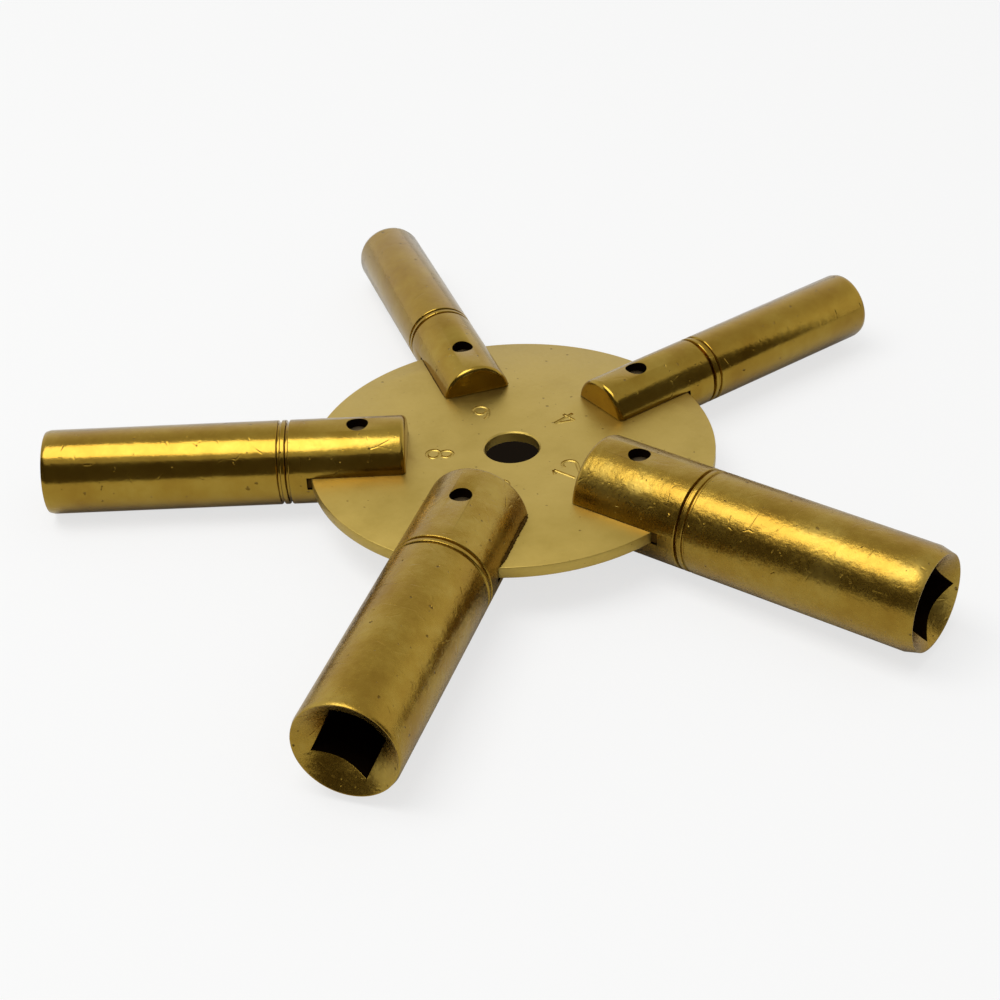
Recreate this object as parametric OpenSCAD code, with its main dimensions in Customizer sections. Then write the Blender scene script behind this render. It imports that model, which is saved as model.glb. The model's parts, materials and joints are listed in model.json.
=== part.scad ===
// Five-prong star key: a sheet-brass disc carries five turned rods, each with
// a square socket in its outer end for a different size of square spindle.
// Each rod is slotted over the edge of the disc, pinned through it and soldered.
// Origin: centre of the disc's middle hole, halfway through the disc.
// +Z runs along that hole. The largest prong lies along +X, and the sizes
// 4, 6, 8 and 10 follow it counter-clockwise, seen from +Z.

/* [Disc] */
// Diameter of the disc
disc_d = 36; // [32:0.5:48]
// Thickness of the disc's sheet
disc_t = 1.1; // [0.8:0.05:1.6]
// Diameter of the hole in the middle of the disc
hole_d = 4.9; // [3:0.1:8]

/* [Rods] */
// Diameter of the rods of prongs 4 and 6
rod_small_d = 6.3; // [6:0.1:7.5]
// Diameter of the rod of prong 8
rod_medium_d = 7.5; // [7:0.1:9]
// Diameter of the rods of prongs 10 and 12
rod_large_d = 9; // [8.5:0.1:10.8]
// Length of prongs 4 and 6 beyond the edge of the disc
reach_short = 22; // [18:0.1:30]
// Length of prongs 8, 10 and 12 beyond the edge of the disc
reach_long = 23.4; // [18:0.1:30]
// Length of the slotted legs of prongs 4 and 6, inside the edge of the disc
legs_short = 8.1; // [6.5:0.1:9.7]
// Length of the slotted legs of prongs 8, 10 and 12, inside the edge of the disc
legs_long = 8.7; // [6.5:0.1:9.7]
// Bevel round the inner end of each rod
inner_bevel = 0.4; // [0.1:0.05:0.8]

/* [Mouths] */
// Across the flats of the socket in prong 4
square_4 = 3.25; // [2.5:0.05:3.9]
// Across the flats of the socket in prong 6
square_6 = 3.75; // [3:0.05:3.9]
// Across the flats of the socket in prong 8
square_8 = 4.25; // [3.5:0.05:4.6]
// Across the flats of the socket in prong 10
square_10 = 4.75; // [4:0.05:5.5]
// Across the flats of the socket in prong 12
square_12 = 5.25; // [4:0.05:5.5]
// Depth of the square sockets, measured from the mouth
square_depth = 14; // [8:0.5:15]
// Full angle of the countersink that leads a spindle into the socket
countersink_angle = 105; // [82:1:120]
// Width of the flat ring left between the countersink and the outer bevel
lip = 0.08; // [0.05:0.01:0.3]
// Radial size of the bevel round the mouths of prongs 4, 6, 8 and 10
mouth_bevel = 0.1; // [0.05:0.01:0.3]
// Radial size of the wider bevel round the mouth of prong 12
mouth_bevel_12 = 0.3; // [0.05:0.01:0.4]
// Length of a mouth's bevel for each millimetre of its radial size
mouth_bevel_slope = 4; // [1:0.1:5]

/* [Grooves] */
// Distance from the mouth to the grooves of prongs 4 and 6
groove_from_mouth_short = 18.6; // [17:0.1:20]
// Distance from the mouth to the grooves of prongs 8, 10 and 12
groove_from_mouth_long = 21.3; // [17:0.1:21.6]
// Distance between the middles of the two grooves
groove_pitch = 0.7; // [0.5:0.05:1]
// Width of each groove
groove_w = 0.3; // [0.2:0.05:0.4]
// Depth of the groove nearer the disc
groove_deep = 0.35; // [0.1:0.05:0.5]
// Depth of the groove nearer the mouth
groove_shallow = 0.2; // [0.1:0.05:0.5]

/* [Pins] */
// Diameter of the pins
pin_d = 1.9; // [1:0.1:2.4]
// Distance from the edge of the disc to the pins of prongs 4 and 6
pin_inset_short = 3.8; // [3:0.1:5]
// Distance from the edge of the disc to the pins of prongs 8, 10 and 12
pin_inset_long = 4.5; // [3:0.1:5]
// Depth of a pin's ends below the crest of its rod
pin_sink = 0.8; // [0.2:0.1:1.2]

/* [Fits] */
// Gap between the disc and each face of a slot, filled by solder
solder_gap = 0.05; // [0.02:0.01:0.1]
// Gap all round a pin in its holes
pin_gap = 0.02; // [0.01:0.01:0.05]

/* [Hidden] */
$fn = 96;

disc_r = disc_d / 2;
pin_hole_d = pin_d + 2 * pin_gap;
slot_w = disc_t + 2 * solder_gap;
slot_end_x = disc_r + solder_gap;
// A cut runs this far past the surface that it breaks through
over = 1;
// The drilled hole under a square socket: how much narrower and how much deeper it is
drill_under_square = 0.3;
drill_beyond_square = 1.2;
drill_point_angle = 118;
// Angle from +X round to each prong
angle_12 = 0;
angle_4 = 72;
angle_6 = 144;
angle_8 = 216;
angle_10 = 288;
// Roll of each socket about its rod
roll_4 = 20;
roll_6 = 75;
roll_8 = 50;
roll_10 = 66;
roll_12 = 37;

brass_sheet = [0.78, 0.67, 0.32];
brass_rod = [0.83, 0.70, 0.30];
brass_pin = [0.55, 0.45, 0.22];

// Stands a shape that was drawn along +Z along a prong that points away from the origin
module along(angle)
    rotate([0, 0, angle])
        rotate([0, 90, 0])
            children();

// A pin's hole or a pin itself, upright at its place under a prong
module at_pin(angle, inset)
    rotate([0, 0, angle])
        translate([disc_r - inset, 0, 0])
            children();

module pin_hole(h)
    cylinder(d = pin_hole_d, h = h, center = true);

// A turned groove of one width, cut into a rod from its surface down
module groove(rod_d, x, depth)
    rotate_extrude()
        translate([rod_d / 2 - depth, x - groove_w / 2])
            square([depth + over, groove_w]);

// The turned outline of a rod, revolved, with its bevelled ends and its two grooves
module turned_rod(rod_d, inner_x, mouth_x, bevel, groove_x) {
    rod_r = rod_d / 2;
    difference() {
        rotate_extrude()
            polygon([
                [0, inner_x],
                [rod_r - inner_bevel, inner_x],
                [rod_r, inner_x + inner_bevel],
                [rod_r, mouth_x - bevel * mouth_bevel_slope],
                [rod_r - bevel, mouth_x],
                [0, mouth_x]
            ]);
        groove(rod_d, groove_x - groove_pitch / 2, groove_deep);
        groove(rod_d, groove_x + groove_pitch / 2, groove_shallow);
    }
}

// Everything that is cut out of a rod's outer end: the countersink, the square
// socket and the drilled hole that the square was broached from
module socket(across, roll, mouth_x, rim_r) {
    half_angle = countersink_angle / 2;
    cone_h = rim_r / tan(half_angle);
    drill_r = across / 2 - drill_under_square / 2;
    drill_x = mouth_x - square_depth - drill_beyond_square;
    point_h = drill_r / tan(drill_point_angle / 2);
    translate([0, 0, mouth_x - cone_h])
        cylinder(r1 = 0, r2 = rim_r, h = cone_h);
    translate([0, 0, mouth_x - square_depth])
        rotate([0, 0, roll])
            translate([-across / 2, -across / 2, 0])
                cube([across, across, square_depth + over]);
    translate([0, 0, drill_x])
        cylinder(r = drill_r, h = drill_beyond_square + over);
    translate([0, 0, drill_x - point_h])
        cylinder(r1 = 0, r2 = drill_r, h = point_h);
}

module prong(angle, rod_d, reach, legs, groove_from_mouth, inset, bevel, across, roll) {
    inner_x = disc_r - legs;
    mouth_x = disc_r + reach;
    groove_x = mouth_x - groove_from_mouth;
    color(brass_rod)
        difference() {
            along(angle)
                turned_rod(rod_d, inner_x, mouth_x, bevel, groove_x);
            along(angle)
                socket(across, roll, mouth_x, rod_d / 2 - bevel - lip);
            rotate([0, 0, angle])
                translate([0, -rod_d / 2 - over, -slot_w / 2])
                    cube([slot_end_x, rod_d + 2 * over, slot_w]);
            at_pin(angle, inset)
                pin_hole(rod_d + 2 * over);
        }
}

module pin(angle, rod_d, inset)
    color(brass_pin)
        at_pin(angle, inset)
            cylinder(d = pin_d, h = rod_d - 2 * pin_sink, center = true);

module disc()
    color(brass_sheet)
        difference() {
            cylinder(d = disc_d, h = disc_t, center = true);
            cylinder(d = hole_d, h = disc_t + 2 * over, center = true);
            for (angle = [angle_4, angle_6])
                at_pin(angle, pin_inset_short)
                    pin_hole(disc_t + 2 * over);
            for (angle = [angle_8, angle_10, angle_12])
                at_pin(angle, pin_inset_long)
                    pin_hole(disc_t + 2 * over);
        }

module short_prong(angle, across, roll)
    prong(angle, rod_small_d, reach_short, legs_short, groove_from_mouth_short,
        pin_inset_short, mouth_bevel, across, roll);

module long_prong(angle, rod_d, bevel, across, roll)
    prong(angle, rod_d, reach_long, legs_long, groove_from_mouth_long,
        pin_inset_long, bevel, across, roll);

module prong_4() short_prong(angle_4, square_4, roll_4);
module prong_6() short_prong(angle_6, square_6, roll_6);
module prong_8() long_prong(angle_8, rod_medium_d, mouth_bevel, square_8, roll_8);
module prong_10() long_prong(angle_10, rod_large_d, mouth_bevel, square_10, roll_10);
module prong_12() long_prong(angle_12, rod_large_d, mouth_bevel_12, square_12, roll_12);

module pin_4() pin(angle_4, rod_small_d, pin_inset_short);
module pin_6() pin(angle_6, rod_small_d, pin_inset_short);
module pin_8() pin(angle_8, rod_medium_d, pin_inset_long);
module pin_10() pin(angle_10, rod_large_d, pin_inset_long);
module pin_12() pin(angle_12, rod_large_d, pin_inset_long);

disc();
prong_4();
prong_6();
prong_8();
prong_10();
prong_12();
pin_4();
pin_6();
pin_8();
pin_10();
pin_12();
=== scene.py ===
import json
import math
from itertools import combinations

import bpy
from mathutils import Matrix, Vector


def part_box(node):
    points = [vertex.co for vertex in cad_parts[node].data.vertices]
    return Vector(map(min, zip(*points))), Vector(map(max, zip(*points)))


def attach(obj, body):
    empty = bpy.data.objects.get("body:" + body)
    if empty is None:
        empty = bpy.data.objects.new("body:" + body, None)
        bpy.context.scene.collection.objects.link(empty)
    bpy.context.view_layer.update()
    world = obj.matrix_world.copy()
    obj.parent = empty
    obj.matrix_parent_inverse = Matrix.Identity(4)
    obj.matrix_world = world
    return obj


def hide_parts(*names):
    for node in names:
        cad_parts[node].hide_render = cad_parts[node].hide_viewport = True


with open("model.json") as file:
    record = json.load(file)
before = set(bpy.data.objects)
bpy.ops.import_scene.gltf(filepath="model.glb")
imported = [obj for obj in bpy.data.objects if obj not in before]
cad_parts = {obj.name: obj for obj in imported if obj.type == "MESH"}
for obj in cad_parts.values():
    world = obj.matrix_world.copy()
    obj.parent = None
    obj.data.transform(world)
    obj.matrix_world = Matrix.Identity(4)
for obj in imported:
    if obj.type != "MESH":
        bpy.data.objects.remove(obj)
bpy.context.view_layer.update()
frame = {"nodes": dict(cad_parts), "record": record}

# Pieces are modelled in millimetres, and put in metres when they are finished
MM = 0.001
SIZES = (4, 6, 8, 10, 12)

# The disc
EDGE_ROUND = 0.12         # rounding of the sheared and deburred edges of the sheet
STAMP_HEIGHT = 2.3        # height of the size numbers
STAMP_DEPTH = 0.16        # how deep the punches went in
STROKE_RADIUS = 0.17      # round nose of the punches' strokes
STAMP_SPACING = 1.6       # between the two figures of a number
STAMP_RADIUS = 6.4        # distance from the middle hole's centre to the numbers
# How far each number stands to the left of its rod's axis, and its own slight turn in degrees
STAMP_PLACES = {4: (0.55, 6), 6: (0.7, 2), 8: (0.6, -4), 10: (0.2, 3), 12: (-0.4, -2)}

# The rods
ROUND_STEPS = 5           # straight steps in each rounded edge
TURN_SEGMENTS = 144       # facets round each rod
INNER_ROUND = 0.45        # rounded edge of a rod's inner end
GROOVE_PITCH = 0.7
GROOVE_WIDTH = 0.3
GROOVE_DEEP = 0.35
GROOVE_SHALLOW = 0.2
GROOVE_FROM_MOUTH = {4: 18.6, 6: 18.6, 8: 21.3, 10: 21.3, 12: 21.3}
SQUARES = {4: 3.25, 6: 3.75, 8: 4.25, 10: 4.75, 12: 5.25}
SQUARE_ROLLS = {4: 20, 6: 75, 8: 50, 10: 66, 12: 37}
SQUARE_DEPTH = 14
COUNTERSINK_HALF_ANGLE = 52.5
MOUTH_BEVELS = {4: 0.1, 6: 0.1, 8: 0.1, 10: 0.1, 12: 0.3}
MOUTH_BEVEL_SLOPE = 4
LIP = 0.08
SOFT_EDGE = 0.05          # all the other edges, broken by tumbling and handling
GROOVE_LIP = 0.06         # the groove's worn edges: how long and how deep
GROOVE_LIP_DEPTH = 0.04
GROOVE_FLOOR = 0.6        # width of a groove's floor over the groove's width
PIN_CROWN = 0.12          # height of the rounding of a pin's ends
SOLDER_GAP = 0.05         # between a slot and the disc
PIN_GAP = 0.02            # between a pin and its holes

# The crust of flux beside the rods: its grain, and how thick it is
FLUX_GRAIN = 0.14
FLUX_THIN = 0.05
FLUX_THICK = 0.17
FLUX_STEPS = 90
FLUX_FROM_END = 0.3       # from the rod's inner end
SOLDER_BEHIND = 0.9       # how far a slot's fill reaches in under the disc's edge


# The studio: angles in degrees, distances in metres
CAMERA_AZIMUTH = -51.84
CAMERA_ELEVATION = 33.95
CAMERA_DISTANCE = 0.19394
CAMERA_ROLL = -3.64
CAMERA_AIM = (0.2, -4.35, 0)    # millimetres
CAMERA_LENS = 79.77
CAMERA_SHIFT = (0.01485, -0.0237)
SOFTBOX_AZIMUTH = 236
SOFTBOX_ELEVATION = 72
SOFTBOX_DISTANCE = 0.5
SOFTBOX_SIZE = (0.42, 0.27)
SOFTBOX_SPIN = 36
SOFTBOX_WATTS = 1.45
SHADE_AWAY = 6.7          # millimetres from under the middle hole to the painted shade seen through it
SHADE_RADIUS = 4          # millimetres
PAPER_WHITE = 0.7         # share of plain white in the paper that the camera sees
CLOTH_DISTANCE = 0.8
CLOTH_HEIGHT = 0.85
CLOTH_HALF_WIDTH = 84
CLOTH_SHIFT = -2


# ---------------------------------------------------------------- the frame's measures
def mounts():
    return {m["name"]: m for m in frame["record"]["mounts"]}


def direction(size):
    """The way a prong points, out of its mouth."""
    return Vector(mounts()[f"socket_{size}"]["axis"])


def span(node, way):
    """Where a node begins and ends along a direction, in millimetres."""
    places = [v.co.dot(way) / MM for v in frame["nodes"][node].data.vertices]
    return min(places), max(places)


def rod_radius(size):
    low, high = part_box(f"prong_{size}")
    return (high.z - low.z) / 2 / MM


# ---------------------------------------------------------------- modelling
def select_only(*things):
    bpy.ops.object.select_all(action="DESELECT")
    for thing in things:
        thing.select_set(True)
    bpy.context.view_layer.objects.active = things[0]


def name_active(name):
    made = bpy.context.object
    made.name = name
    made.data.name = name
    return made


def turned(name, outline, segments=TURN_SEGMENTS):
    """A solid turned about Z: a disc drawn out ring by ring along (height, radius) points."""
    z, r = outline[0]
    bpy.ops.object.select_all(action="DESELECT")
    bpy.ops.mesh.primitive_circle_add(
        vertices=segments, radius=r, fill_type="NGON", location=(0, 0, z)
    )
    made = name_active(name)
    bpy.ops.object.transform_apply(location=True, rotation=False, scale=False)
    bpy.ops.object.mode_set(mode="EDIT")
    bpy.ops.mesh.select_all(action="SELECT")
    for next_z, next_r in outline[1:]:
        bpy.ops.mesh.extrude_region_move(TRANSFORM_OT_translate={"value": (0, 0, next_z - z)})
        grow = next_r / r
        bpy.ops.transform.resize(value=(grow, grow, 1), center_override=(0, 0, next_z))
        z, r = next_z, next_r
    bpy.ops.mesh.select_all(action="SELECT")
    bpy.ops.mesh.normals_make_consistent(inside=False)
    bpy.ops.object.mode_set(mode="OBJECT")
    return made


def cut(piece, *tools):
    """Cuts each tool out of a piece and throws the tool away."""
    for tool in tools:
        select_only(piece)
        change = piece.modifiers.new("cut", "BOOLEAN")
        change.operation = "DIFFERENCE"
        change.solver = "EXACT"
        change.object = tool
        bpy.ops.object.modifier_apply(modifier=change.name)
        bpy.data.objects.remove(tool)


def soften(piece, width, segments=2, angle=35):
    """Rounds every sharp edge of a piece."""
    select_only(piece)
    change = piece.modifiers.new("soften", "BEVEL")
    change.width = width
    change.segments = segments
    change.limit_method = "ANGLE"
    change.angle_limit = math.radians(angle)
    change.use_clamp_overlap = True
    change.miter_outer = "MITER_ARC"
    bpy.ops.object.modifier_apply(modifier=change.name)


def settle(piece, turn=Matrix.Identity(4)):
    """Puts a piece drawn in millimetres in its place, in metres, with its transforms applied."""
    piece.data.transform(Matrix.Scale(MM, 4) @ turn)
    select_only(piece)
    bpy.ops.object.mode_set(mode="EDIT")
    bpy.ops.mesh.select_all(action="SELECT")
    bpy.ops.mesh.remove_doubles(threshold=1e-6)
    bpy.ops.object.mode_set(mode="OBJECT")
    bpy.ops.object.shade_smooth_by_angle(angle=math.radians(30))


def finish(piece, material, slot, *nodes):
    if not piece.data.materials:
        piece.data.materials.append(material)
    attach(piece, "root")
    if nodes:
        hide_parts(*nodes)


def rounded(z, r, size, ways):
    """Points of a quarter round that leaves the point (z, r) by size along each of two ways."""
    (z0, r0), (z1, r1) = ways
    points = []
    for step in range(ROUND_STEPS + 1):
        a = math.pi / 2 * step / ROUND_STEPS
        points.append((
            z + size * (z0 * (1 - math.sin(a)) + z1 * (1 - math.cos(a))),
            r + size * (r0 * (1 - math.sin(a)) + r1 * (1 - math.cos(a))),
        ))
    return points


def block(name, low, high):
    """A box between two corners."""
    low, high = Vector(low), Vector(high)
    bpy.ops.object.select_all(action="DESELECT")
    bpy.ops.mesh.primitive_cube_add(size=1, location=(low + high) / 2)
    made = name_active(name)
    made.scale = high - low
    bpy.ops.object.transform_apply(location=True, rotation=False, scale=True)
    return made


def rod_outline(size, inner, mouth):
    """The half outline of a rod: rounded inner end, two grooves with a bead, bevelled mouth."""
    r = rod_radius(size)
    middle = mouth - GROOVE_FROM_MOUTH[size]
    outline = rounded(inner, r, INNER_ROUND, ((0, -1), (1, 0)))
    for place, depth in ((-1, GROOVE_DEEP), (1, GROOVE_SHALLOW)):
        z = middle + place * GROOVE_PITCH / 2
        half = GROOVE_WIDTH / 2
        outline += [
            (z - half - GROOVE_LIP, r),
            (z - half, r - GROOVE_LIP_DEPTH),
            (z - half * GROOVE_FLOOR, r - depth),
            (z + half * GROOVE_FLOOR, r - depth),
            (z + half, r - GROOVE_LIP_DEPTH),
            (z + half + GROOVE_LIP, r),
        ]
    bevel = MOUTH_BEVELS[size]
    rim = r - bevel - LIP
    throat = SQUARES[size] / 2 * 0.9
    cone = (rim - throat) / math.tan(math.radians(COUNTERSINK_HALF_ANGLE))
    outline += [
        (mouth - bevel * MOUTH_BEVEL_SLOPE, r),
        (mouth, r - bevel),
        (mouth, rim),
        (mouth - cone, throat),
    ]
    return outline


def line_with(tool, piece, outside, inside):
    """Makes the faces that a tool leaves in a piece take the piece's second material."""
    for thing in (tool, piece):
        thing.data.materials.clear()
        thing.data.materials.append(outside)
        thing.data.materials.append(inside)
    for face in tool.data.polygons:
        face.material_index = 1


def build_prong(size, material, dark):
    way = direction(size)
    inner, mouth = span(f"prong_{size}", way)
    r = rod_radius(size)
    rod = turned(f"rod_{size}", rod_outline(size, inner, mouth))

    side = SQUARES[size] / 2
    square = block("square", (-side, -side, mouth - SQUARE_DEPTH), (side, side, mouth + 1))
    square.data.transform(Matrix.Rotation(math.radians(SQUARE_ROLLS[size]), 4, "Z"))

    # Drawn upright, a rod's own X is the disc's down once it lies along its way
    low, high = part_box("disc")
    half_slot = (high.z - low.z) / 2 / MM + SOLDER_GAP
    slot_end = (high.x - low.x) / 2 / MM + SOLDER_GAP
    slot = block("slot", (-half_slot, -r - 1, inner - 1), (half_slot, r + 1, slot_end))

    pin_low, pin_high = span(f"pin_{size}", way)
    hole_r = (pin_high - pin_low) / 2 + PIN_GAP
    hole = turned("hole", [(-r - 1, hole_r), (r + 1, hole_r)], 48)
    hole.data.transform(
        Matrix.Translation((0, 0, (pin_low + pin_high) / 2)) @ Matrix.Rotation(math.pi / 2, 4, "Y")
    )
    # The walls left by the square, the slot and the hole take the nearly black material: painted
    # shade
    for tool in (square, slot, hole):
        line_with(tool, rod, material, dark)
    cut(rod, square, slot, hole)
    soften(rod, SOFT_EDGE)
    turn = Matrix.Rotation(math.atan2(way.y, way.x), 4, "Z")
    lie_down = Matrix.Rotation(math.pi / 2, 4, "Y")
    settle(rod, turn @ lie_down)
    mark_round(rod, way)
    finish(rod, material, "turned_brass", f"prong_{size}")


def mark_round(piece, way):
    """Stores, for the material, each point's place along the rod and round it, in metres."""
    across = Vector((0, 0, 1)).cross(way)
    places = piece.data.attributes.new("rod", "FLOAT_VECTOR", "POINT")
    for vertex, place in zip(piece.data.vertices, places.data):
        along = vertex.co.dot(way)
        place.vector = (along, vertex.co.dot(across), vertex.co.z)


def build_pin(size, material):
    way = direction(size)
    low, high = span(f"pin_{size}", way)
    bottom, top = span(f"pin_{size}", Vector((0, 0, 1)))
    r = (high - low) / 2
    half_outline = [(0, r * 0.55), (PIN_CROWN * 0.4, r * 0.85), (PIN_CROWN, r)]
    outline = [(bottom + z, ring) for z, ring in half_outline]
    outline += [(top - z, ring) for z, ring in reversed(half_outline)]
    pin = turned(f"pin_{size}_driven", outline, 40)
    place = way * (low + high) / 2
    settle(pin, Matrix.Translation((place.x, place.y, 0)))
    finish(pin, material, "pin_brass", f"pin_{size}")


def build_solder(size, material):
    """Solder in a slot's end, and the crust of flux along the rod's four lines on the disc.

    The crust is thicker on the top of rod 10, on the side towards rod 12.
    """
    way = direction(size)
    r = rod_radius(size)
    inner = span(f"prong_{size}", way)[0]
    low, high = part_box("disc")
    disc_r = (high.x - low.x) / 2 / MM
    half = (high.z - low.z) / 2 / MM
    side = math.sqrt(r * r - half * half)
    fill = block(
        f"solder_{size}",
        (-half + 0.02, -side + 0.12, disc_r - SOLDER_BEHIND),
        (half - 0.02, side - 0.12, disc_r + 0.04),
    )
    soften(fill, 0.08)
    start = inner + FLUX_FROM_END
    reach = math.sqrt(disc_r ** 2 - side ** 2) - 0.1 - start
    grain = bpy.data.textures.new("flux_grain", "CLOUDS")
    grain.noise_scale = FLUX_GRAIN
    crusts = []
    for face in (-1, 1):
        for hand in (-1, 1):
            thick = FLUX_THICK if (size, face, hand) == (10, -1, 1) else FLUX_THIN
            outline = []
            for step in range(FLUX_STEPS + 1):
                part = step / FLUX_STEPS
                taper = min(1, 8 * part, 8 * (1 - part))
                outline.append((start + reach * part, thick * (0.3 + 0.7 * taper)))
            crust = turned("crust", outline, 12)
            crust.data.transform(Matrix.Translation((face * half, hand * side, 0)))
            select_only(crust)
            rough = crust.modifiers.new("grain", "DISPLACE")
            rough.texture = grain
            rough.strength = thick * 1.6
            rough.mid_level = 0.5
            bpy.ops.object.modifier_apply(modifier=rough.name)
            crusts.append(crust)
    select_only(fill, *crusts)
    bpy.ops.object.join()
    turn = Matrix.Rotation(math.atan2(way.y, way.x), 4, "Z")
    lie_down = Matrix.Rotation(math.pi / 2, 4, "Y")
    settle(fill, turn @ lie_down)
    finish(fill, material, "pin_brass")


def bow(x, y, half_width, half_height, start, end):
    """Points of an elliptical stroke between two angles in degrees."""
    steps = max(4, round(abs(end - start) / 15))
    points = []
    for step in range(steps + 1):
        a = math.radians(start + (end - start) * step / steps)
        points.append((x + half_width * math.cos(a), y + half_height * math.sin(a)))
    return points


# Strokes of each figure in a box one high, with its middle at the origin
FIGURES = {
    "0": [bow(0, 0, 0.28, 0.5, 0, 360)],
    "1": [[(-0.16, 0.28), (0.06, 0.5)], [(0.06, 0.5), (0.06, -0.5)]],
    "2": [bow(0, 0.22, 0.27, 0.28, 175, -40) + [(-0.28, -0.5)], [(-0.28, -0.5), (0.3, -0.5)]],
    "4": [[(0.1, -0.5), (0.1, 0.5)], [(0.1, 0.5), (-0.3, -0.2)], [(-0.3, -0.2), (0.32, -0.2)]],
    "6": [bow(0, -0.21, 0.27, 0.29, 0, 360), bow(0.27, -0.15, 0.54, 0.66, 112, 180)],
    "8": [bow(0, 0.25, 0.23, 0.25, 0, 360), bow(0, -0.24, 0.28, 0.26, 0, 360)],
}


def punch_stroke(points, place):
    """A round bar along one stroke of a figure: what the punch pressed into the sheet."""
    closed = math.dist(points[0], points[-1]) < 1e-6
    if closed:
        points = points[:-1]
    data = bpy.data.curves.new("stroke", "CURVE")
    data.dimensions = "3D"
    data.bevel_depth = STROKE_RADIUS
    data.bevel_resolution = 3
    data.use_fill_caps = True
    line = data.splines.new("POLY")
    line.points.add(len(points) - 1)
    for point, (x, y) in zip(line.points, points):
        point.co = (x, y, 0, 1)
    line.use_cyclic_u = closed
    stroke = bpy.data.objects.new("stroke", data)
    bpy.context.scene.collection.objects.link(stroke)
    select_only(stroke)
    bpy.ops.object.convert(target="MESH")
    stroke = bpy.context.object
    stroke.data.transform(place)
    return stroke


def stamps(size, top):
    """The punches of a size number, whose top points at the middle hole."""
    aside, own_turn = STAMP_PLACES[size]
    way = direction(size)
    place = (
        Matrix.Rotation(math.atan2(way.y, way.x), 4, "Z")
        @ Matrix.Translation((STAMP_RADIUS, aside, top + STROKE_RADIUS - STAMP_DEPTH))
        @ Matrix.Rotation(math.radians(90 + own_turn), 4, "Z")
    )
    strokes = []
    for spot, figure in enumerate(str(size)):
        shift = (spot - (len(str(size)) - 1) / 2) * STAMP_SPACING
        for points in FIGURES[figure]:
            drawn = [(shift + x * STAMP_HEIGHT, y * STAMP_HEIGHT) for x, y in points]
            strokes.append(punch_stroke(drawn, place))
    return strokes


def build_disc(material):
    low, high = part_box("disc")
    r = (high.x - low.x) / 2 / MM
    bottom, top = low.z / MM, high.z / MM
    e = EDGE_ROUND
    outline = [(bottom, r - e), (bottom + e * 0.3, r - e * 0.3), (bottom + e, r)]
    outline += [(top - e, r), (top - e * 0.3, r - e * 0.3), (top, r - e)]
    disc = turned("stamped_disc", outline, 256)
    hole_r = mounts()["centre_hole"]["dims"]["r_mm"]
    middle = [(bottom - 0.1, hole_r + e * 2), (bottom + e, hole_r)]
    middle += [(top - e, hole_r), (top + 0.1, hole_r + e * 2)]
    tools = [turned("middle", middle, 96)]
    for size in SIZES:
        way = direction(size)
        pin_low, pin_high = span(f"pin_{size}", way)
        pin_hole_r = (pin_high - pin_low) / 2 + PIN_GAP
        tool = turned("pin_hole", [(bottom - 1, pin_hole_r), (top + 1, pin_hole_r)], 40)
        place = way * (pin_low + pin_high) / 2
        tool.data.transform(Matrix.Translation(place))
        tools.append(tool)
    for size in SIZES:
        tools += stamps(size, top)
    cut(disc, *tools)
    settle(disc)
    finish(disc, material, "sheet_brass", "disc")


# ---------------------------------------------------------------- materials
def colour(code):
    """An sRGB hex colour as linear red, green, blue and alpha."""
    parts = [int(code[i:i + 2], 16) / 255 for i in (0, 2, 4)]
    return [c / 12.92 if c <= 0.04045 else ((c + 0.055) / 1.055) ** 2.4 for c in parts] + [1]


def add(tree, kind, sockets=None, stops=(), **settings):
    """Adds a node, sets it up, and links or sets its sockets.

    A node given for a socket is linked by its first output. The stops of a colour ramp are
    pairs of a place and a hex colour.
    """
    node = tree.nodes.new(kind)
    for key, value in settings.items():
        setattr(node, key, value)
    for key, value in (sockets or {}).items():
        if isinstance(value, bpy.types.Node):
            value = value.outputs[0]
        if isinstance(value, bpy.types.NodeSocket):
            tree.links.new(value, node.inputs[key])
        else:
            node.inputs[key].default_value = value
    if stops:
        while len(node.color_ramp.elements) < len(stops):
            node.color_ramp.elements.new(0.5)
        for element, (place, code) in zip(node.color_ramp.elements, stops):
            element.position = place
            element.color = colour(code)
    return node


def per_mm(millimetres):
    """The texture scale whose features are about this many millimetres wide."""
    return 1 / (millimetres * MM)


def new_material(name):
    material = bpy.data.materials.new(name)
    material.use_nodes = True
    material.node_tree.nodes.clear()
    return material, material.node_tree


# Patterns in the brass: width in millimetres, detail and roughness
PATTERNS = {
    "tarnish": (5.0, 4, 0.65),
    "fine": (0.3, 5, 0.7),
    "lines": (0.14, 3, 0.6),
    "pock": (0.5, 1, 0.4),
    "dent": (2.2, 2, 0.5),
    "crinkle": (0.7, 3, 0.6),
    "break": (1.1, 2, 0.5),
}
NICK_CELLS = 2.6          # millimetres between the hairline nicks' cells
NICK_STRETCH = 0.45
NICK_WIDTH = 0.03


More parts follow.
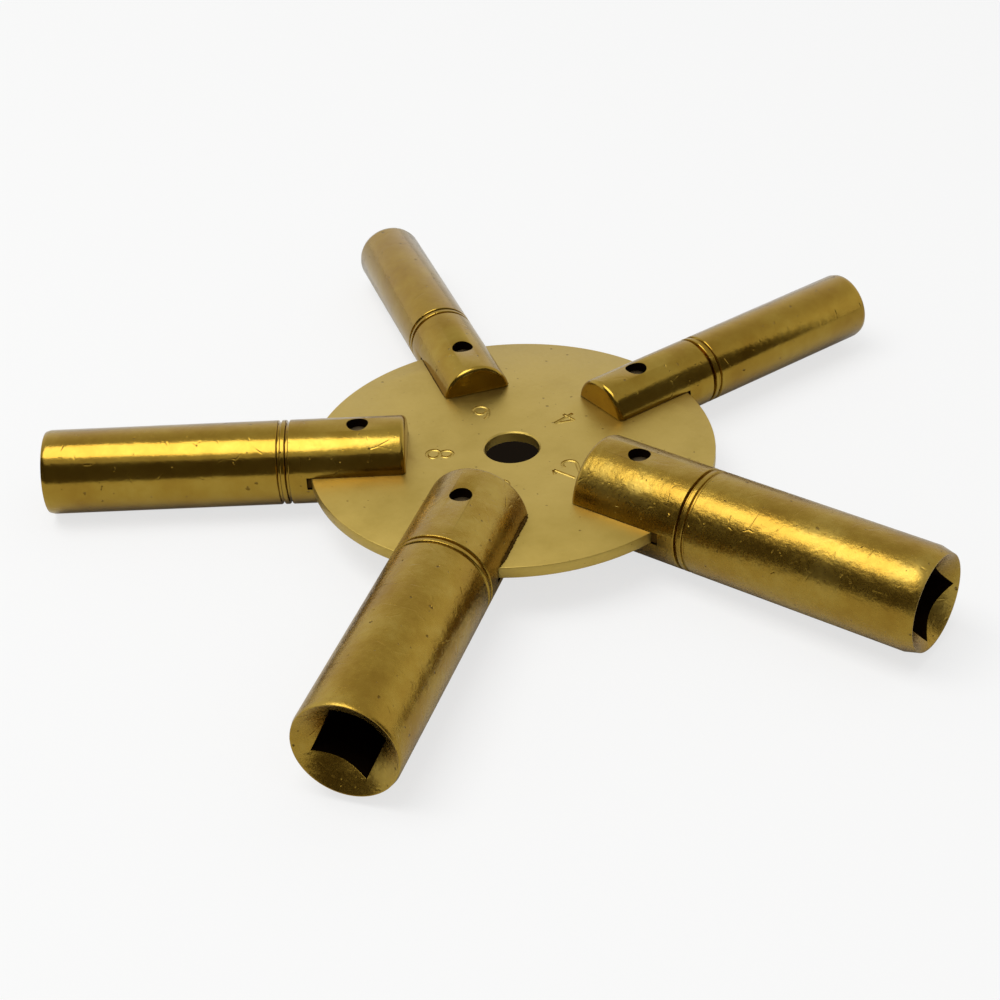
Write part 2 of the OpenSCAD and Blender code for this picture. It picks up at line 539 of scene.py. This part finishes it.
def brass(name, where_kind, golds, roughness, grain, dents, pits):
    """Brass with a worn surface: blotches of tarnish, tool grain, small dents and pits."""
    material, tree = new_material(name)
    if where_kind == "Object":
        where = add(tree, "ShaderNodeTexCoord").outputs["Object"]
    else:
        where = add(tree, "ShaderNodeAttribute", attribute_name=where_kind).outputs["Vector"]
    made = {}
    for pattern, (width, detail, rough) in PATTERNS.items():
        squash = grain if pattern == "lines" else (1, 1, 1)
        mapped = add(tree, "ShaderNodeMapping", {"Vector": where, "Scale": squash})
        made[pattern] = add(tree, "ShaderNodeTexNoise", {
            "Vector": mapped, "Scale": per_mm(width), "Detail": detail, "Roughness": rough,
        })

    # Colour: blotches of tarnish, darker in the pits
    tone = add(tree, "ShaderNodeValToRGB", {"Fac": made["tarnish"]},
               stops=[(0.3, golds[0]), (0.5, golds[1]), (0.72, golds[2])])
    pit = add(tree, "ShaderNodeMapRange", {
        "Value": made["pock"], "From Min": 0.74, "From Max": 0.79, "To Min": 0, "To Max": 1,
    })
    dirt = add(tree, "ShaderNodeMath", {0: pit, 1: 0.6}, operation="MULTIPLY")
    tint = add(tree, "ShaderNodeMixRGB", {"Fac": dirt, "Color1": tone, "Color2": colour(golds[3])})

    # Shine
    wear = add(tree, "ShaderNodeMath", {0: made["fine"], 1: made["tarnish"]}, operation="ADD")
    shine = add(tree, "ShaderNodeMapRange", {
        "Value": wear, "From Min": 0.7, "From Max": 1.3,
        "To Min": roughness[0], "To Max": roughness[1],
    })

    # Hairline nicks: the thin edges between cells of stretched blotches
    cells = add(tree, "ShaderNodeMapping", {"Vector": where, "Scale": (1, NICK_STRETCH, 1)})
    edges = add(tree, "ShaderNodeTexVoronoi", {
        "Vector": cells, "Scale": per_mm(NICK_CELLS), "Randomness": 1.0,
    }, feature="DISTANCE_TO_EDGE")
    nick = add(tree, "ShaderNodeMapRange", {
        "Value": edges.outputs["Distance"],
        "From Min": 0.0, "From Max": NICK_WIDTH, "To Min": 1, "To Max": 0,
    })
    broken = add(tree, "ShaderNodeMapRange", {
        "Value": made["break"], "From Min": 0.52, "From Max": 0.6, "To Min": 0, "To Max": 1,
    })
    nick = add(tree, "ShaderNodeMath", {0: nick, 1: broken}, operation="MULTIPLY")

    # Height: dents, the crinkled skin of old knocks, tool lines, less the nicks and pits
    height = add(tree, "ShaderNodeMath", {0: made["dent"], 1: dents * 1.2}, operation="MULTIPLY")
    layers = [
        ("ADD", made["crinkle"], dents * 0.55),
        ("ADD", made["fine"], dents * 0.16),
        ("ADD", made["lines"], dents * 0.08),
        ("SUBTRACT", nick, pits * 0.3),
        ("SUBTRACT", pit, pits),
    ]
    for operation, layer, amount in layers:
        layer = add(tree, "ShaderNodeMath", {0: layer, 1: amount}, operation="MULTIPLY")
        height = add(tree, "ShaderNodeMath", {0: height, 1: layer}, operation=operation)
    bump = add(tree, "ShaderNodeBump", {"Height": height, "Strength": 1.0, "Distance": 1.0})
    surface = add(tree, "ShaderNodeBsdfPrincipled", {
        "Base Color": tint, "Metallic": 1.0, "Roughness": shine, "Normal": bump,
    })
    add(tree, "ShaderNodeOutputMaterial", {"Surface": surface})
    return material


# ---------------------------------------------------------------- studio
def resting_plane():
    """The plane that the key lies on, from its upward normal and distance along it.

    Every rod's two ends stay above it, and of all such planes it is the highest under the
    key's weight.
    """
    feet = []
    weight = 0
    balance = Vector((0, 0, 0))
    for size in SIZES:
        way = direction(size)
        r = rod_radius(size)
        inner, mouth = span(f"prong_{size}", way)
        feet += [(way * end - Vector((0, 0, r))) * MM for end in (inner, mouth)]
        share = r * r * (mouth - inner)
        weight += share
        balance += way * (inner + mouth) / 2 * MM * share
    low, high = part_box("disc")
    weight += ((high.x - low.x) / 2 / MM) ** 2 * (high.z - low.z) / MM
    balance /= weight
    best = None
    best_height = 0
    for a, b, c in combinations(feet, 3):
        normal = (b - a).cross(c - a)
        if normal.length < 1e-9:
            continue
        normal.normalize()
        if normal.z < 0:
            normal.negate()
        if normal.z < 0.5:
            continue
        if all((foot - a).dot(normal) > -1e-7 for foot in feet):
            drop = a.dot(normal)
            height = (drop - balance.dot(normal)) / normal.z
            if best is None or height > best_height:
                best = (normal, drop)
                best_height = height
    return best


def build_floor():
    normal, drop = resting_plane()
    bpy.ops.object.select_all(action="DESELECT")
    bpy.ops.mesh.primitive_plane_add(size=4)
    floor = name_active("floor")
    turn = normal.to_track_quat("Z", "Y").to_matrix().to_4x4()
    floor.data.transform(Matrix.Translation(normal * drop) @ turn)
    material, tree = new_material("matt white paper, painted shade spot")
    # Painted shade: the paper's colour goes dark in a spot that the middle hole shows
    painted_shade_middle = heading(CAMERA_AZIMUTH + 180, 0) * SHADE_AWAY * MM
    where = add(tree, "ShaderNodeTexCoord").outputs["Object"]
    flat = add(tree, "ShaderNodeVectorMath", {0: where, 1: (1, 1, 0)}, operation="MULTIPLY")
    away = add(tree, "ShaderNodeVectorMath", {0: flat, 1: painted_shade_middle}, operation="DISTANCE")
    # Mask of the painted shade: dark inside the spot, fading to white paper at its edge
    shade = add(tree, "ShaderNodeMapRange", {
        "Value": away.outputs["Value"],
        "From Min": SHADE_RADIUS * 0.7 * MM, "From Max": SHADE_RADIUS * MM,
        "To Min": 0, "To Max": 1,
    })
    lit = add(tree, "ShaderNodeValToRGB", {"Fac": shade}, stops=[(0, "1E1812"), (1, "F2F2F0")])
    seen = add(tree, "ShaderNodeValToRGB", {"Fac": shade}, stops=[(0, "1E1812"), (1, "FFFFFF")])
    paper = add(tree, "ShaderNodeBsdfDiffuse", {"Color": lit})
    white = add(tree, "ShaderNodeEmission", {"Color": seen, "Strength": 1.0})
    path = add(tree, "ShaderNodeLightPath")
    share = add(tree, "ShaderNodeMath", {0: path.outputs["Is Camera Ray"], 1: PAPER_WHITE},
                operation="MULTIPLY")
    mix = add(tree, "ShaderNodeMixShader", {"Fac": share, 1: paper, 2: white})
    # From below, the paper is left out, so that the key's underside shows
    below = add(tree, "ShaderNodeNewGeometry").outputs["Backfacing"]
    clear = add(tree, "ShaderNodeBsdfTransparent")
    sheet = add(tree, "ShaderNodeMixShader", {"Fac": below, 1: mix, 2: clear})
    add(tree, "ShaderNodeOutputMaterial", {"Surface": sheet})
    floor.data.materials.append(material)


def build_world():
    world = bpy.data.worlds.new("studio")
    bpy.context.scene.world = world
    world.use_nodes = True
    tree = world.node_tree
    tree.nodes.clear()
    path = add(tree, "ShaderNodeLightPath").outputs
    seen = path["Is Camera Ray"]
    for kind in ("Is Glossy Ray", "Is Transmission Ray"):
        seen = add(tree, "ShaderNodeMath", {0: seen, 1: path[kind]}, operation="MAXIMUM")
    room = add(tree, "ShaderNodeBackground", {"Color": colour("F4F5F7"), "Strength": 0.5})
    up = add(tree, "ShaderNodeTexCoord").outputs["Generated"]
    height = add(tree, "ShaderNodeSeparateXYZ", {"Vector": up}).outputs["Z"]
    pale = add(tree, "ShaderNodeValToRGB", {"Fac": height},
               stops=[(0.45, "FFFFFF"), (0.85, "D6D6D6")])
    white = add(tree, "ShaderNodeBackground", {"Color": pale, "Strength": 1.0})
    mix = add(tree, "ShaderNodeMixShader", {"Fac": seen, 1: room, 2: white})
    add(tree, "ShaderNodeOutputWorld", {"Surface": mix})


def heading(azimuth, elevation):
    """The unit vector towards an azimuth and elevation, in degrees."""
    a, e = math.radians(azimuth), math.radians(elevation)
    return Vector((math.cos(a) * math.cos(e), math.sin(a) * math.cos(e), math.sin(e)))


def build_dark_cloth():
    """A dark cloth hung in an arc behind the camera: the brass shows it as its dark bands."""
    bpy.ops.object.select_all(action="DESELECT")
    bpy.ops.mesh.primitive_cylinder_add(
        vertices=72, radius=CLOTH_DISTANCE, depth=CLOTH_HEIGHT, end_fill_type="NOTHING",
        location=(0, 0, CLOTH_HEIGHT / 2),
    )
    cloth = name_active("dark_cloth")
    bpy.ops.object.transform_apply(location=True, rotation=False, scale=False)
    middle = heading(CAMERA_AZIMUTH + CLOTH_SHIFT, 0)
    bpy.ops.object.mode_set(mode="EDIT")
    bpy.ops.mesh.select_all(action="DESELECT")
    bpy.ops.object.mode_set(mode="OBJECT")
    reach = math.cos(math.radians(CLOTH_HALF_WIDTH))
    for face in cloth.data.polygons:
        flat = Vector((face.center.x, face.center.y, 0)).normalized()
        face.select = flat.dot(middle) < reach
    bpy.ops.object.mode_set(mode="EDIT")
    bpy.ops.mesh.select_mode(type="FACE")
    bpy.ops.mesh.delete(type="FACE")
    bpy.ops.object.mode_set(mode="OBJECT")
    material, tree = new_material("charcoal wool cloth")
    surface = add(tree, "ShaderNodeBsdfDiffuse", {"Color": colour("7A7266")})
    add(tree, "ShaderNodeOutputMaterial", {"Surface": surface})
    cloth.data.materials.append(material)
    cloth.visible_camera = False
    cloth.visible_diffuse = False
    cloth.visible_shadow = False


def build_softbox():
    """One broad lamp overhead, its long side across the camera's view."""
    way = heading(SOFTBOX_AZIMUTH, SOFTBOX_ELEVATION)
    bpy.ops.object.select_all(action="DESELECT")
    bpy.ops.object.light_add(type="AREA")
    lamp = bpy.context.object
    lamp.name = "softbox"
    lamp.data.shape = "RECTANGLE"
    lamp.data.size, lamp.data.size_y = SOFTBOX_SIZE
    lamp.data.energy = SOFTBOX_WATTS
    look = (-way).to_track_quat("-Z", "Y").to_matrix().to_4x4()
    spin = Matrix.Rotation(math.radians(SOFTBOX_SPIN), 4, "Z")
    lamp.matrix_world = Matrix.Translation(way * SOFTBOX_DISTANCE) @ look @ spin


def build_camera():
    """A short telephoto view from above prong 12's right-hand side."""
    aim = Vector(CAMERA_AIM) * MM
    out = heading(CAMERA_AZIMUTH, CAMERA_ELEVATION)
    data = bpy.data.cameras.new("camera")
    data.lens = CAMERA_LENS
    data.sensor_width = 36
    data.shift_x, data.shift_y = CAMERA_SHIFT
    data.clip_start = 0.01
    camera = bpy.data.objects.new("camera", data)
    bpy.context.scene.collection.objects.link(camera)
    camera.location = aim + out * CAMERA_DISTANCE
    look = (-out).to_track_quat("-Z", "Y").to_matrix().to_4x4()
    roll = Matrix.Rotation(math.radians(CAMERA_ROLL), 4, "Z")
    camera.matrix_world = Matrix.Translation(camera.location) @ look @ roll
    bpy.context.scene.camera = camera


# ---------------------------------------------------------------- the key
# Turned brass rod that has been knocked about and handled to a soft, crinkled shine
handled_brass = brass("turned brass, handled", "rod", ("8C6C26", "9A7C30", "A88E42", "4A3210"),
                      (0.2, 0.34), (0.15, 1, 1), 0.00006, 0.00005)
# The same rod where it has kept more of its burnish
burnished_brass = brass("turned brass, burnished", "rod", ("8E6E26", "997B2E", "A4893A", "4A3210"),
                        (0.12, 0.22), (0.15, 1, 1), 0.00002, 0.00003)
# Rolled sheet, tumbled to an even satin with a few scratches
sheet_brass = brass("sheet brass, satin", "Object", ("B09648", "B89E50", "BEA456", "5A4318"),
                    (0.34, 0.44), (1, 0.1, 1), 0.00002, 0.00001)
# Pin ends as cut, filled with old polish and dirt
pin_brass = brass("cut pin brass, darkened", "Object", ("6A5A40", "857355", "4A3A20", "1E1206"),
                  (0.45, 0.6), (1, 1, 1), 0.00012, 0.00003)
# Walls of sockets, slots and holes, painted nearly black: painted shade in these hollows
hollow_shade_brass = brass("brass, painted shade in hollows", "rod", ("1A0F05", "24160A", "120A04", "080402"),
                    (0.5, 0.7), (1, 1, 1), 0.00003, 0.00002)
# Burnt flux and solder, matt and dark brown
flux_brown = brass("solder and burnt flux", "Object", ("4A3410", "5A4218", "3A280C", "140C04"),
                   (0.6, 0.8), (1, 1, 1), 0.00006, 0.00003)

build_disc(sheet_brass)
for size in SIZES:
    build_prong(size, handled_brass if size in (10, 12) else burnished_brass, hollow_shade_brass)
    build_pin(size, pin_brass)
    build_solder(size, flux_brown)

build_floor()
build_world()
build_dark_cloth()
build_softbox()
build_camera()
bpy.context.scene.view_settings.view_transform = "Standard"
